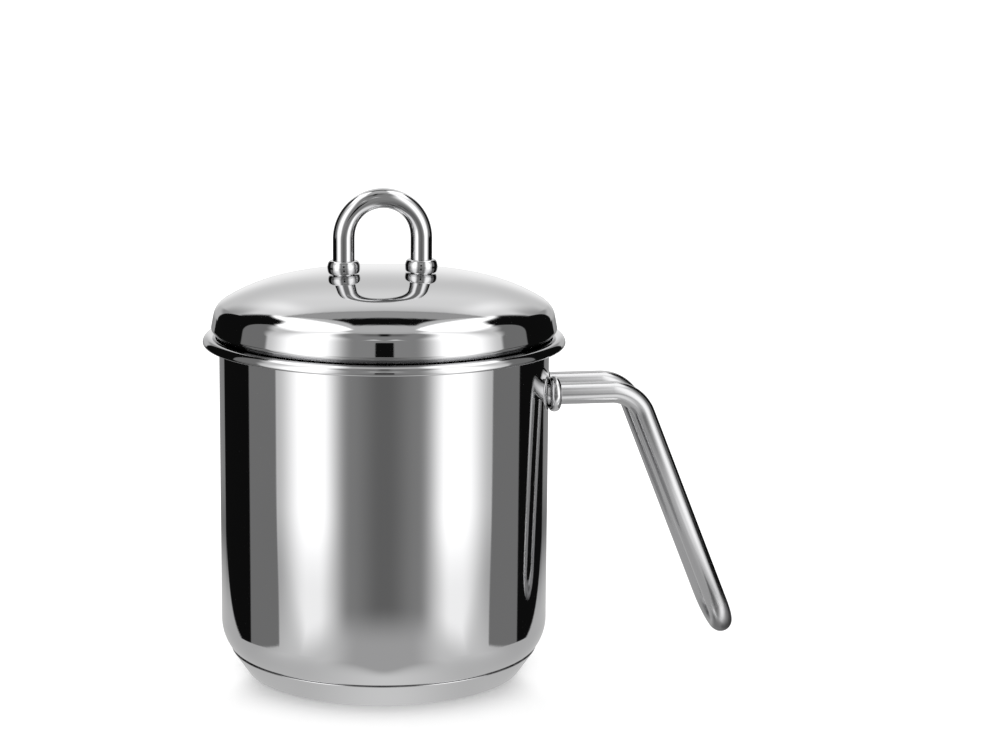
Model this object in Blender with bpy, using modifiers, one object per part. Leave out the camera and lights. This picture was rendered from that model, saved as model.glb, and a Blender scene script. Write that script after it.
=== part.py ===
"""Milk boiler: a straight-sided stainless steel pan with a domed lid that lifts off.

The pan stands on the plane z = 0 with its axis on Z, and its handle points along +X.
Lengths are in metres. A profile is a list of (radius, height) points in the XZ plane.
"""

import math

import bpy
from mathutils import Matrix, Vector

MM = 0.001

# Fits, and how finely round shapes are divided
TOUCH_GAP = 0.3 * MM
OVERRUN = 5.0 * MM
TURNED_STEPS = 56
COLLAR_STEPS = 20
CUTTER_STEPS = 112
PLUG_SIDES = 16
TUBE_RESOLUTION = 4
ARC_SAGITTA = 0.08 * MM
LARGEST_ARC_STEP = math.radians(30.0)
SMOOTH_LIMIT = math.radians(35.0)
MERGE_DISTANCE = 0.01 * MM

# Colours, and how rough each finish is
STEEL_COLOUR = (0.58, 0.58, 0.59)
ALUMINIUM_COLOUR = (0.72, 0.72, 0.73)
MIRROR_ROUGHNESS = 0.08
TUBE_ROUGHNESS = 0.12
SATIN_ROUGHNESS = 0.25
RAW_ROUGHNESS = 0.40

# Pan: one pressed sheet with a rolled rim
BORE_RADIUS = 70.0 * MM
PAN_SHEET = 0.7 * MM
PAN_HEIGHT = 147.7 * MM
PAN_CORNER_RADIUS = 18.5 * MM
RIM_OVERHANG = 7.0 * MM
RIM_FLARE_RADIUS = 8.0 * MM
RIM_HEM_RADIUS = 1.0 * MM
RIM_HEM_START = math.radians(10.0)
RIM_UNDER_SLOPE = math.radians(3.0)
RIM_FILLET_RADIUS = 1.0 * MM

# Base: a heat-spreading core held by a dished capsule
CAPSULE_SHEET = 0.6 * MM
CAPSULE_LIP_INSET = 4.0 * MM
CAPSULE_FLARE = 7.2 * MM
CAPSULE_FOOT_ROUNDING = 1.6 * MM
CORE_THICKNESS = 3.0 * MM

# Lid: a domed shell whose conical seat rests on the rim and whose skirt drops into the bore
LID_SHEET = 0.7 * MM
LID_SIDE_INSET = 3.05 * MM
LID_SIDE_LENGTH = 4.99 * MM
LID_SIDE_LEAN = math.radians(11.0)
LID_EDGE_RADIUS = 1.9 * MM
LID_SEAT_SLOPE = math.radians(52.0)
LID_SHOULDER_RADIUS = 7.9 * MM
LID_SHOULDER_SLOPE = math.radians(31.8)
LID_HAUNCH_RADIUS = 70.7 * MM
LID_HAUNCH_SLOPE = math.radians(8.2)
LID_SKIRT_CLEARANCE = 0.6 * MM
LID_SKIRT_DEPTH = 6.6 * MM
LID_STEP_RADIUS = 1.2 * MM

# Handle: one bent tube whose two ends meet the wall side by side
HANDLE_TUBE_RADIUS = 4.7 * MM
HANDLE_TUBE_WALL = 1.0 * MM
HANDLE_LEG_SPACING = 24.4 * MM
HANDLE_DROP = 26.1 * MM
HANDLE_STRAIGHT = 27.9 * MM
HANDLE_BEND_RADIUS = 15.8 * MM
HANDLE_SLOPE = math.radians(68.2)
HANDLE_FLOOR_CLEARANCE = 8.9 * MM
HANDLE_COLLAR_RISE = 3.05 * MM
HANDLE_COLLAR_EDGE = 0.6 * MM
HANDLE_COLLAR_WIDTH = 4.8 * MM
HANDLE_PLUG_LENGTH = 8.0 * MM

# Knob: a tube arch that stands on the lid
KNOB_TUBE_RADIUS = 4.65 * MM
KNOB_TUBE_WALL = 1.0 * MM
KNOB_LEG_SPACING = 33.4 * MM
KNOB_HEIGHT = 35.6 * MM
KNOB_COLLAR_RISE = 2.35 * MM
KNOB_COLLAR_EDGE = 0.4 * MM
KNOB_COLLAR_HEIGHT = 5.8 * MM
KNOB_PLUG_LENGTH = 8.0 * MM

# Sizes that follow from the ones above
WALL_RADIUS = BORE_RADIUS + PAN_SHEET
RIM_OUTER_RADIUS = WALL_RADIUS + RIM_OVERHANG
RIM_CROWN_RADIUS = RIM_OVERHANG / 2
CAPSULE_LIP_RADIUS = WALL_RADIUS - CAPSULE_LIP_INSET
CAPSULE_FOOT_RADIUS = CAPSULE_LIP_RADIUS - CAPSULE_FLARE
UNDERSIDE_HEIGHT = CAPSULE_SHEET + TOUCH_GAP + CORE_THICKNESS + TOUCH_GAP
CORNER_CENTRE = Vector((WALL_RADIUS - PAN_CORNER_RADIUS, UNDERSIDE_HEIGHT + PAN_CORNER_RADIUS))
CROWN_CENTRE = Vector((RIM_OUTER_RADIUS - RIM_CROWN_RADIUS, PAN_HEIGHT - RIM_CROWN_RADIUS))
HANDLE_LEG_HEIGHT = PAN_HEIGHT - HANDLE_DROP
HANDLE_COLLAR_RADIUS = HANDLE_TUBE_RADIUS + HANDLE_COLLAR_RISE
KNOB_COLLAR_RADIUS = KNOB_TUBE_RADIUS + KNOB_COLLAR_RISE
RIGHT_ANGLE = math.pi / 2


def arc(centre, radius, start, end):
    """Points on a circle from start to end, whose chords stay within the sagitta of it."""
    step = min(LARGEST_ARC_STEP, 2 * math.acos(1 - ARC_SAGITTA / radius))
    count = math.ceil(abs(end - start) / step)
    angles = [start + (end - start) * index / count for index in range(count + 1)]
    return [centre + radius * polar(angle) for angle in angles]


def line_meets_circle(point, direction, centre, radius):
    """The first point where a line that runs along direction enters a circle."""
    to_centre = centre - point
    along = to_centre.dot(direction)
    half_chord = math.sqrt(radius ** 2 - (to_centre.length_squared - along ** 2))
    return point + (along - half_chord) * direction


def angle_from(centre, point):
    """The polar angle of a point about a centre."""
    offset = point - centre
    return math.atan2(offset.y, offset.x)


def polar(angle):
    """The unit vector at a polar angle."""
    return Vector((math.cos(angle), math.sin(angle)))


def pan_profile():
    """The closed section of the pan: floor, bore, rolled rim, wall and underside.

    The bore flares as a tangent into the rim's crown. The hem turns the crown under to a
    slope, and a fillet carries the slope into the wall.
    """
    floor_corner = arc(CORNER_CENTRE, PAN_CORNER_RADIUS - PAN_SHEET, -RIGHT_ANGLE, 0.0)
    flare_place = BORE_RADIUS + RIM_FLARE_RADIUS
    reach = RIM_FLARE_RADIUS - RIM_CROWN_RADIUS
    drop = math.sqrt(reach ** 2 - (flare_place - CROWN_CENTRE.x) ** 2)
    flare_centre = Vector((flare_place, CROWN_CENTRE.y - drop))
    flare_end = angle_from(flare_centre, CROWN_CENTRE)
    flare = arc(flare_centre, RIM_FLARE_RADIUS, math.pi, flare_end)
    crown = arc(CROWN_CENTRE, RIM_CROWN_RADIUS, flare_end, RIM_HEM_START)
    hem_centre = CROWN_CENTRE + (RIM_CROWN_RADIUS - RIM_HEM_RADIUS) * polar(RIM_HEM_START)
    hem_end = -RIGHT_ANGLE + RIM_UNDER_SLOPE
    hem = arc(hem_centre, RIM_HEM_RADIUS, RIM_HEM_START, hem_end)
    along = -polar(RIM_UNDER_SLOPE)
    start = hem[-1] + RIM_FILLET_RADIUS * polar(hem_end)
    run = (WALL_RADIUS + RIM_FILLET_RADIUS - start.x) / along.x
    fillet = arc(start + run * along, RIM_FILLET_RADIUS, math.pi + hem_end, math.pi)
    wall_corner = arc(CORNER_CENTRE, PAN_CORNER_RADIUS, 0.0, -RIGHT_ANGLE)
    floor_centre = Vector((0.0, UNDERSIDE_HEIGHT + PAN_SHEET))
    underside_centre = Vector((0.0, UNDERSIDE_HEIGHT))
    return ([floor_centre] + floor_corner + flare + crown[1:] + hem[1:] + fillet
            + wall_corner + [underside_centre])


def capsule_lip():
    """The capsule's outer lip, where its cone ends just short of the pan's rounded corner."""
    reach = PAN_CORNER_RADIUS + TOUCH_GAP
    across = CAPSULE_LIP_RADIUS - CORNER_CENTRE.x
    return Vector((CAPSULE_LIP_RADIUS, CORNER_CENTRE.y - math.sqrt(reach ** 2 - across ** 2)))


def inset_cone(inset, height):
    """Start, on the given height, and end, near the pan's corner, of the cone moved inwards."""
    foot = Vector((CAPSULE_FOOT_RADIUS, 0.0))
    direction = (capsule_lip() - foot).normalized()
    inward = Vector((-direction.y, direction.x))
    base = foot + inset * inward
    start = base + (height - base.y) / direction.y * direction
    end = line_meets_circle(start, direction, CORNER_CENTRE, PAN_CORNER_RADIUS + TOUCH_GAP)
    return start, end


def capsule_profile():
    """The closed section of the capsule: a flat dish with a conical side and a rounded foot."""
    inner_foot, inner_lip = inset_cone(CAPSULE_SHEET, CAPSULE_SHEET)
    lip = capsule_lip()
    foot = Vector((CAPSULE_FOOT_RADIUS, 0.0))
    side_angle = angle_from(foot, lip)
    setback = CAPSULE_FOOT_ROUNDING * math.tan(side_angle / 2)
    rounding_centre = Vector((foot.x - setback, CAPSULE_FOOT_ROUNDING))
    rounding = arc(rounding_centre, CAPSULE_FOOT_ROUNDING, side_angle - RIGHT_ANGLE, -RIGHT_ANGLE)
    return ([Vector((0.0, CAPSULE_SHEET)), inner_foot, inner_lip, lip] + rounding
            + [Vector((0.0, 0.0))])


def core_profile():
    """The closed section of the core, which fills the space between the capsule and the pan."""
    top = UNDERSIDE_HEIGHT - TOUCH_GAP
    bottom = CAPSULE_SHEET + TOUCH_GAP
    foot, shoulder = inset_cone(CAPSULE_SHEET + TOUCH_GAP, bottom)
    shoulder_angle = angle_from(CORNER_CENTRE, shoulder)
    seat = arc(CORNER_CENTRE, PAN_CORNER_RADIUS + TOUCH_GAP, -RIGHT_ANGLE, shoulder_angle)
    return [Vector((0.0, top))] + seat + [foot, Vector((0.0, bottom))]


def lid_edge_centre():
    """The centre of the lid's rounded edge, which touches the side and the seat inside them.

    The side, drawn on down to the pan's height, stands the side's inset inside the rim. The
    seat lies one touching gap above the rim's crown.
    """
    side_out = polar(LID_SIDE_LEAN)
    seat_out = polar(LID_SEAT_SLOPE - RIGHT_ANGLE)
    side_foot = Vector((RIM_OUTER_RADIUS - LID_SIDE_INSET, PAN_HEIGHT))
    side_reach = side_foot.dot(side_out) - LID_EDGE_RADIUS
    seat_reach = (CROWN_CENTRE.dot(seat_out) - RIM_CROWN_RADIUS - TOUCH_GAP
                  - LID_EDGE_RADIUS)
    return Matrix((side_out, seat_out)).inverted() @ Vector((side_reach, seat_reach))


def lid_arcs():
    """Centre, radius, start angle and end angle of the lid's dome, haunch, shoulder and edge."""
    edge_centre = lid_edge_centre()
    side_out = polar(LID_SIDE_LEAN)
    side_up = Vector((-side_out.y, side_out.x))
    side_top = edge_centre + LID_EDGE_RADIUS * side_out + LID_SIDE_LENGTH * side_up
    shoulder_centre = side_top - LID_SHOULDER_RADIUS * side_out
    shoulder_angle = RIGHT_ANGLE - LID_SHOULDER_SLOPE
    shoulder_out = polar(shoulder_angle)
    haunch_centre = shoulder_centre + (LID_SHOULDER_RADIUS - LID_HAUNCH_RADIUS) * shoulder_out
    haunch_angle = RIGHT_ANGLE - LID_HAUNCH_SLOPE
    haunch_out = polar(haunch_angle)
    haunch_top = haunch_centre + LID_HAUNCH_RADIUS * haunch_out
    dome_radius = haunch_top.x / haunch_out.x
    dome_centre = haunch_top - dome_radius * haunch_out
    return {
        "dome": (dome_centre, dome_radius, RIGHT_ANGLE, haunch_angle),
        "haunch": (haunch_centre, LID_HAUNCH_RADIUS, haunch_angle, shoulder_angle),
        "shoulder": (shoulder_centre, LID_SHOULDER_RADIUS, shoulder_angle, LID_SIDE_LEAN),
        "edge": (edge_centre, LID_EDGE_RADIUS, LID_SIDE_LEAN, LID_SEAT_SLOPE - RIGHT_ANGLE),
    }


def lid_apex():
    """Height of the top of the dome, on the axis."""
    centre, radius, _, _ = lid_arcs()["dome"]
    return centre.y + radius


def dome_height(radius_from_axis):
    """Height of the dome's outer surface at a distance from the axis."""
    centre, radius, _, _ = lid_arcs()["dome"]
    return centre.y + math.sqrt(radius ** 2 - radius_from_axis ** 2)


def lid_profile():
    """The outer line of the lid from the middle of the dome to the lower end of the skirt.

    The seat runs straight from the edge, and a small hollow arc carries it into the skirt.
    """
    arcs = lid_arcs()
    skirt_radius = BORE_RADIUS - LID_SKIRT_CLEARANCE
    seat_angle = LID_SEAT_SLOPE - RIGHT_ANGLE
    start = lid_edge_centre() + (LID_EDGE_RADIUS + LID_STEP_RADIUS) * polar(seat_angle)
    along = -polar(LID_SEAT_SLOPE)
    run = (skirt_radius + LID_STEP_RADIUS - start.x) / along.x
    step = arc(start + run * along, LID_STEP_RADIUS, math.pi + seat_angle, math.pi)
    skirt_end = Vector((skirt_radius, PAN_HEIGHT - LID_SKIRT_DEPTH))
    return (arc(*arcs["dome"]) + arc(*arcs["haunch"])[1:] + arc(*arcs["shoulder"])[1:]
            + arc(*arcs["edge"]) + step + [skirt_end])


def collar_profile(tube_radius, edge, bulge_radius, width):
    """The closed section of a bead with narrow flat ends and a bulging side, from z = 0 up."""
    bore = tube_radius + TOUCH_GAP
    rise = bulge_radius - bore - edge
    half = width / 2
    bulge = (half ** 2 + rise ** 2) / (2 * rise)
    reach = math.asin(half / bulge)
    centre = Vector((bulge_radius - bulge, half))
    outer = arc(centre, bulge, reach, -reach)
    return [Vector((bore, width))] + outer + [Vector((bore, 0.0))]


def handle_path():
    """The handle's centre line, from one end at the wall round the grip and back to the wall.

    Each leg runs out level, turns down through the bend and follows the grip's slope. A half
    circle in the sloping plane joins the legs at the bottom.
    """
    half = HANDLE_LEG_SPACING / 2
    start = math.sqrt(WALL_RADIUS ** 2 - half ** 2)
    bend_centre = Vector((start + HANDLE_STRAIGHT, HANDLE_LEG_HEIGHT - HANDLE_BEND_RADIUS))
    bend = arc(bend_centre, HANDLE_BEND_RADIUS, RIGHT_ANGLE, RIGHT_ANGLE - HANDLE_SLOPE)
    down = polar(-HANDLE_SLOPE)
    lowest = HANDLE_FLOOR_CLEARANCE + HANDLE_TUBE_RADIUS
    grip_length = (lowest - bend[-1].y) / down.y - half
    grip_end = bend[-1] + grip_length * down
    inside_wall = Vector((start - OVERRUN, HANDLE_LEG_HEIGHT))
    leg = [(point.x, -half, point.y) for point in [inside_wall] + bend + [grip_end]]
    loop = []
    for turn in arc(Vector((0.0, 0.0)), half, -RIGHT_ANGLE, RIGHT_ANGLE)[1:-1]:
        spot = grip_end + turn.x * down
        loop.append((spot.x, turn.y, spot.y))
    back = [(x, -y, z) for x, y, z in reversed(leg)]
    return leg + loop + back


def knob_path():
    """The knob's centre line: two upright legs joined by a half circle."""
    half = KNOB_LEG_SPACING / 2
    arch_height = lid_apex() + KNOB_HEIGHT - KNOB_TUBE_RADIUS - half
    foot = dome_height(half) - OVERRUN
    arch = arc(Vector((0.0, arch_height)), half, math.pi, 0.0)
    points = [Vector((-half, foot))] + arch + [Vector((half, foot))]
    return [(point.x, 0.0, point.y) for point in points]


def clear_scene():
    """Remove every object, so that the file holds only the milk boiler."""
    for obj in list(bpy.data.objects):
        bpy.data.objects.remove(obj, do_unlink=True)


def new_collection(name):
    """A collection of that name, linked to the scene."""
    collection = bpy.data.collections.new(name)
    bpy.context.scene.collection.children.link(collection)
    return collection


def metal(name, colour, roughness):
    """A bare metal material."""
    material = bpy.data.materials.new(name)
    material.use_nodes = True
    shader = material.node_tree.nodes["Principled BSDF"]
    shader.inputs["Base Color"].default_value = (*colour, 1.0)
    shader.inputs["Roughness"].default_value = roughness
    shader.inputs["Metallic"].default_value = 1.0
    return material


def place(obj, collection, material=None, parent=None):
    """Link an object, give it its material and hang it on its parent."""
    collection.objects.link(obj)
    if material is not None:
        obj.data.materials.append(material)
    if parent is not None:
        obj.parent = parent
    return obj


def turned(name, profile, steps, closed=False):
    """An object made by turning a profile about its own Z axis with a Screw modifier."""
    mesh = bpy.data.meshes.new(name)
    points = [(point.x, 0.0, point.y) for point in profile]
    edges = [(index, index + 1) for index in range(len(points) - 1)]
    if closed:
        edges.append((len(points) - 1, 0))
    mesh.from_pydata(points, edges, [])
    obj = bpy.data.objects.new(name, mesh)
    screw = obj.modifiers.new("turn", "SCREW")
    screw.axis = "Z"
    screw.steps = steps
    screw.render_steps = steps
    screw.use_smooth_shade = True
    screw.use_merge_vertices = True
    screw.merge_threshold = MERGE_DISTANCE
    return obj


def tube(name, path, radius, wall, collection, material, parent):
    """A hollow tube along a path of straight runs and arcs, with open ends."""
    curve = bpy.data.curves.new(name + "_line", "CURVE")
    curve.dimensions = "3D"
    curve.bevel_depth = radius
    curve.bevel_resolution = TUBE_RESOLUTION
    curve.use_fill_caps = False
    spline = curve.splines.new("POLY")
    spline.points.add(len(path) - 1)
    for point, spot in zip(spline.points, path):
        point.co = (*spot, 1.0)
    line = bpy.data.objects.new(name + "_line", curve)
    collection.objects.link(line)
    bpy.context.view_layer.update()
    evaluated = line.evaluated_get(bpy.context.evaluated_depsgraph_get())
    mesh = bpy.data.meshes.new_from_object(evaluated)
    mesh.name = name
    mesh.shade_smooth()
    obj = bpy.data.objects.new(name, mesh)
    obj.matrix_world = line.matrix_world
    bpy.data.objects.remove(line)
    place(obj, collection, material, parent)
    solidify = obj.modifiers.new("wall", "SOLIDIFY")
    solidify.thickness = wall
    solidify.offset = -1.0
    solidify.use_even_offset = True
    return obj


def rod(name, radius, length):
    """A plain round rod along its own Z axis, from z = 0 up."""
    bpy.ops.mesh.primitive_cylinder_add(vertices=PLUG_SIDES, radius=radius, depth=length)
    obj = bpy.context.object
    obj.name = name
    obj.data.name = name
    obj.data.transform(Matrix.Translation((0.0, 0.0, length / 2)))
    obj.data.shade_smooth()
    obj.data.set_sharp_from_angle(angle=SMOOTH_LIMIT)
    for owner in list(obj.users_collection):
        owner.objects.unlink(obj)
    return obj


def cut(obj, cutter):
    """Take the cutter's space out of an object."""
    boolean = obj.modifiers.new("fit", "BOOLEAN")
    boolean.operation = "DIFFERENCE"
    boolean.object = cutter
    boolean.solver = "EXACT"


def as_cutter(obj, collection):
    """Link an object as a cutter, shown as wire and left out of the model."""
    collection.objects.link(obj)
    obj.display_type = "WIRE"
    obj.hide_render = True
    return obj


def make_cutters(collection):
    """The pan's wall and the lid's dome, each one touching gap larger than the piece itself."""
    wall_radius = WALL_RADIUS + TOUCH_GAP
    low = HANDLE_LEG_HEIGHT - HANDLE_COLLAR_RADIUS - OVERRUN
    high = HANDLE_LEG_HEIGHT + HANDLE_COLLAR_RADIUS + OVERRUN
    wall_points = [(0.0, high), (wall_radius, high), (wall_radius, low), (0.0, low)]
    wall = turned("wall_cutter", [Vector(point) for point in wall_points], CUTTER_STEPS)
    centre, radius, start, end = lid_arcs()["dome"]
    dome = arc(centre, radius + TOUCH_GAP, start, end)
    foot = dome[-1].y - OVERRUN
    dome_points = dome + [Vector((dome[-1].x, foot)), Vector((0.0, foot))]
    cap = turned("dome_cutter", dome_points, CUTTER_STEPS)
    return as_cutter(wall, collection), as_cutter(cap, collection)


def make_pan(collection, parent):
    """The pan's shell, turned from its closed section."""
    steel = metal("pan_steel", STEEL_COLOUR, MIRROR_ROUGHNESS)
    place(turned("pan_shell", pan_profile(), TURNED_STEPS), collection, steel, parent)


def make_base(collection, parent):
    """The base: a core, and the capsule that holds it."""
    aluminium = metal("core_aluminium", ALUMINIUM_COLOUR, RAW_ROUGHNESS)
    core = turned("base_core", core_profile(), TURNED_STEPS)
    place(core, collection, aluminium, parent)
    steel = metal("capsule_steel", STEEL_COLOUR, SATIN_ROUGHNESS)
    capsule = turned("base_capsule", capsule_profile(), TURNED_STEPS)
    place(capsule, collection, steel, parent)


def make_handle(collection, parent, wall_cutter):
    """The handle's tube, the bead round each end of it and the weld plug inside each end.

    Seen from the pan, the right leg is the one on the -Y side.
    """
    tube_steel = metal("handle_steel", STEEL_COLOUR, TUBE_ROUGHNESS)
    collar_steel = metal("handle_collar_steel", STEEL_COLOUR, MIRROR_ROUGHNESS)
    plug_steel = metal("handle_weld_steel", STEEL_COLOUR, RAW_ROUGHNESS)
    loop = tube("handle_loop", handle_path(), HANDLE_TUBE_RADIUS, HANDLE_TUBE_WALL,
                collection, tube_steel, parent)
    cut(loop, wall_cutter)
    half = HANDLE_LEG_SPACING / 2
    wall_x = math.sqrt(WALL_RADIUS ** 2 - half ** 2)
    along_x = (0.0, RIGHT_ANGLE, 0.0)
    profile = collar_profile(HANDLE_TUBE_RADIUS, HANDLE_COLLAR_EDGE,
                             HANDLE_COLLAR_RADIUS, HANDLE_COLLAR_WIDTH)
    plug_radius = HANDLE_TUBE_RADIUS - HANDLE_TUBE_WALL - TOUCH_GAP
    for side, offset in (("right", -half), ("left", half)):
        collar = turned("handle_collar_" + side, profile, COLLAR_STEPS, closed=True)
        place(collar, collection, collar_steel, parent)
        collar.location = (wall_x, offset, HANDLE_LEG_HEIGHT)
        collar.rotation_euler = along_x
        cut(collar, wall_cutter)
        plug = rod("handle_weld_plug_" + side, plug_radius, HANDLE_PLUG_LENGTH + OVERRUN)
        place(plug, collection, plug_steel, parent)
        plug.location = (wall_x - OVERRUN, offset, HANDLE_LEG_HEIGHT)
        plug.rotation_euler = along_x
        cut(plug, wall_cutter)


def make_lid(collection, parent):
    """The lid's shell: one sheet, whose thickness lies inside its outer line."""
    steel = metal("lid_steel", STEEL_COLOUR, MIRROR_ROUGHNESS)
    lid = turned("lid_shell", lid_profile(), TURNED_STEPS)
    place(lid, collection, steel, parent)
    solidify = lid.modifiers.new("sheet", "SOLIDIFY")
    solidify.thickness = LID_SHEET
    solidify.offset = -1.0
    solidify.use_even_offset = True


def make_knob(collection, parent, dome_cutter):
    """The knob's tube, the bead round each foot of it and the weld plug inside each foot.

    The front foot is the one on the handle's side.
    """
    tube_steel = metal("knob_steel", STEEL_COLOUR, TUBE_ROUGHNESS)
    collar_steel = metal("knob_collar_steel", STEEL_COLOUR, MIRROR_ROUGHNESS)
    plug_steel = metal("knob_weld_steel", STEEL_COLOUR, RAW_ROUGHNESS)
    loop = tube("knob_loop", knob_path(), KNOB_TUBE_RADIUS, KNOB_TUBE_WALL,
                collection, tube_steel, parent)
    cut(loop, dome_cutter)
    half = KNOB_LEG_SPACING / 2
    foot = dome_height(half)
    collar_foot = dome_height(half + KNOB_COLLAR_RADIUS)
    collar_height = foot + KNOB_COLLAR_HEIGHT - collar_foot
    profile = collar_profile(KNOB_TUBE_RADIUS, KNOB_COLLAR_EDGE,
                             KNOB_COLLAR_RADIUS, collar_height)
    plug_radius = KNOB_TUBE_RADIUS - KNOB_TUBE_WALL - TOUCH_GAP
    for side, offset in (("back", -half), ("front", half)):
        collar = turned("knob_collar_" + side, profile, COLLAR_STEPS, closed=True)
        place(collar, collection, collar_steel, parent)
        collar.location = (offset, 0.0, collar_foot)
        cut(collar, dome_cutter)
        plug = rod("knob_weld_plug_" + side, plug_radius, KNOB_PLUG_LENGTH + OVERRUN)
        place(plug, collection, plug_steel, parent)
        plug.location = (offset, 0.0, foot - OVERRUN)
        cut(plug, dome_cutter)


def main():
    """Build the milk boiler: the pan with its base and handle, and the lid with its knob."""
    clear_scene()
    parts = new_collection("milk_boiler")
    cutters = new_collection("cutters")
    pan_frame = place(bpy.data.objects.new("pan_frame", None), parts)
    lid_frame = place(bpy.data.objects.new("lid_lift_axis", None), parts, parent=pan_frame)
    wall_cutter, dome_cutter = make_cutters(cutters)
    make_pan(parts, pan_frame)
    make_base(parts, pan_frame)
    make_handle(parts, pan_frame, wall_cutter)
    make_lid(parts, lid_frame)
    make_knob(parts, lid_frame, dome_cutter)


main()
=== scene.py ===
"""Milk boiler: a polished stainless steel pan with its lid, knob and handle, on a white table.

The pan's axis is Z, and its handle points along +X. Shapes are worked out in millimetres, and
angles in degrees, until they go into a mesh. A section is a line in the plane of radius and
height, made of arcs and of the straight runs between them, and is turned about an axis.
"""

import math

import bpy
import numpy as np
from mathutils import Matrix


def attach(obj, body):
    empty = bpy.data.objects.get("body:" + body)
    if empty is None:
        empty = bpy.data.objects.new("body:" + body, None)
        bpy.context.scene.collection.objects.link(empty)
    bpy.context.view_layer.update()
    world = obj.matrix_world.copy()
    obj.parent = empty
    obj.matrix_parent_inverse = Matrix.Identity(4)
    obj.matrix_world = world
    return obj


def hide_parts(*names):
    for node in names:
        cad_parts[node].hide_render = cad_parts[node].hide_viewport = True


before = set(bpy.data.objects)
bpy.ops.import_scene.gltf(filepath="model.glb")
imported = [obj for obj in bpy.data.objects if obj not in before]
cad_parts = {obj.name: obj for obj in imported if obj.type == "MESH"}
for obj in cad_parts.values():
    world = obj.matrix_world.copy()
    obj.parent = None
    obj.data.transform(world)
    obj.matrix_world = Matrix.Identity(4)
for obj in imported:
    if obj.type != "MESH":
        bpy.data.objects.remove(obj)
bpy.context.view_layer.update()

MM = 0.001

# How finely shapes are divided, and what counts as the same point or normal
TURNED_COLUMNS = 384
BEAD_COLUMNS = 128
TUBE_COLUMNS = 96
BEAD_STEPS = 44
HANDLE_LEG_STEPS = 12
HANDLE_GRIP_STEPS = 24
HANDLE_TURN_STEPS = 48
KNOB_LEG_STEPS = 8
LARGEST_TURN = 4.0
LARGEST_STEP = 3.0
SAME_POINT = 1e-6
SAME_NORMAL = 1e-4

# Pan
BORE_RADIUS = 70.0
PAN_SHEET = 0.7
WALL_RADIUS = BORE_RADIUS + PAN_SHEET
PAN_HEIGHT = 147.7
PAN_CORNER = 18.5
UNDERSIDE = 4.2
RIM_OUTER = 77.7
RIM_CROWN = 3.5
RIM_FLARE = 8.0
RIM_HEM = 1.0
RIM_HEM_START = 10.0
RIM_UNDER_SLOPE = 3.0
RIM_FILLET = 1.0
PAN_SATIN_DEPTHS = (14.0, 12.0)

# Base capsule
CAPSULE_SHEET = 0.6
CAPSULE_LIP = 66.7
CAPSULE_FOOT = 59.5
CAPSULE_ROUNDING = 1.6
SEAM_WIDTH = 0.60

# Lid
LID_SHEET = 0.7
LID_SIDE_INSET = 3.05
LID_EDGE = 1.9
LID_REST_GAP = 0.3
LID_SIDE_LENGTH = 4.99
LID_SEAT_SLOPE = 52.0
LID_SIDE_LEAN = 11.0
LID_SHOULDER = 7.9
LID_SHOULDER_SLOPE = 31.8
LID_HAUNCH = 70.7
LID_HAUNCH_SLOPE = 12.0
LID_BLEND = 140.0
LID_BLEND_SLOPE = 5.11
LID_SKIRT = 69.4
LID_SKIRT_DEPTH = 6.6
LID_STEP = 1.2

# Handle. The tube's wall and the gap at its ends are the knob's too.
HANDLE_TUBE = 4.7
TUBE_WALL = 1.0
SEAT_GAP = 0.05
HANDLE_HALF = 12.2
HANDLE_LEG_HEIGHT = 121.6
HANDLE_LEG_OVERLAP = 1.2
HANDLE_STRAIGHT = 27.9
HANDLE_BEND = 15.8
HANDLE_SLOPE = 68.2
HANDLE_CLEARANCE = 8.9
HANDLE_SATIN_TOP = 32.0
HANDLE_SATIN_FOOT = 18.0
HANDLE_COLLAR = 7.75
HANDLE_COLLAR_EDGE = 0.3
HANDLE_COLLAR_WIDTH = 4.8

# Knob
KNOB_TUBE = 4.65
KNOB_HALF = 16.7
KNOB_OFFSET = -0.9
KNOB_HEIGHT = 36.0
KNOB_LEG_OVERLAP = 0.6
KNOB_FLATTENING = 0.42
KNOB_COLLAR = 7.0
KNOB_COLLAR_EDGE = 0.5
KNOB_COLLAR_HEIGHT = 5.8
KNOB_COLLAR_GAP = 0.45
BEAD_SQUARENESS = 2.3

# Metals: noise values between which lines, tint and wiping marks go from none to all
STEEL_COLOUR = (0.60, 0.60, 0.605)
TUBE_COLOUR = (0.49, 0.49, 0.495)
ALUMINIUM_COLOUR = (0.72, 0.72, 0.73)
NOISE_RANGE = (0.3, 0.7)
MARKS_RANGE = (0.45, 0.75)
ROUGHNESS_SHARES = (0.8, 1.2)
TINT_SHARES = (0.985, 1.015)

# Camera: place in metres, angles in degrees, lens and sensor in millimetres
CAMERA_PLACE = (-0.1590, -1.1342, 0.3552)
CAMERA_HEADING = 10.467
CAMERA_PITCH = 11.147
CAMERA_ROLL = 0.555
CAMERA_LENS = 97.545
CAMERA_SENSOR = 36.0
CAMERA_REACH = 100.0

# Studio: a dome that only the metal sees, in metres, and the place that looks at it. The
# pairs are the elevations on the dome between which its mirrors change.
STUDIO_RADIUS = 0.75
STUDIO_HEIGHT = 0.08
STUDIO_COLUMNS = 720
STUDIO_ROWS = 180
LOOKOUT_RADIUS = 0.067
LOOKOUT_HEIGHT = 0.157
LOOKOUT_PITCH = 13.0
LID_MIRRORS = (-6, 1)
DOME_MIRRORS = (40, 75)

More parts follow.
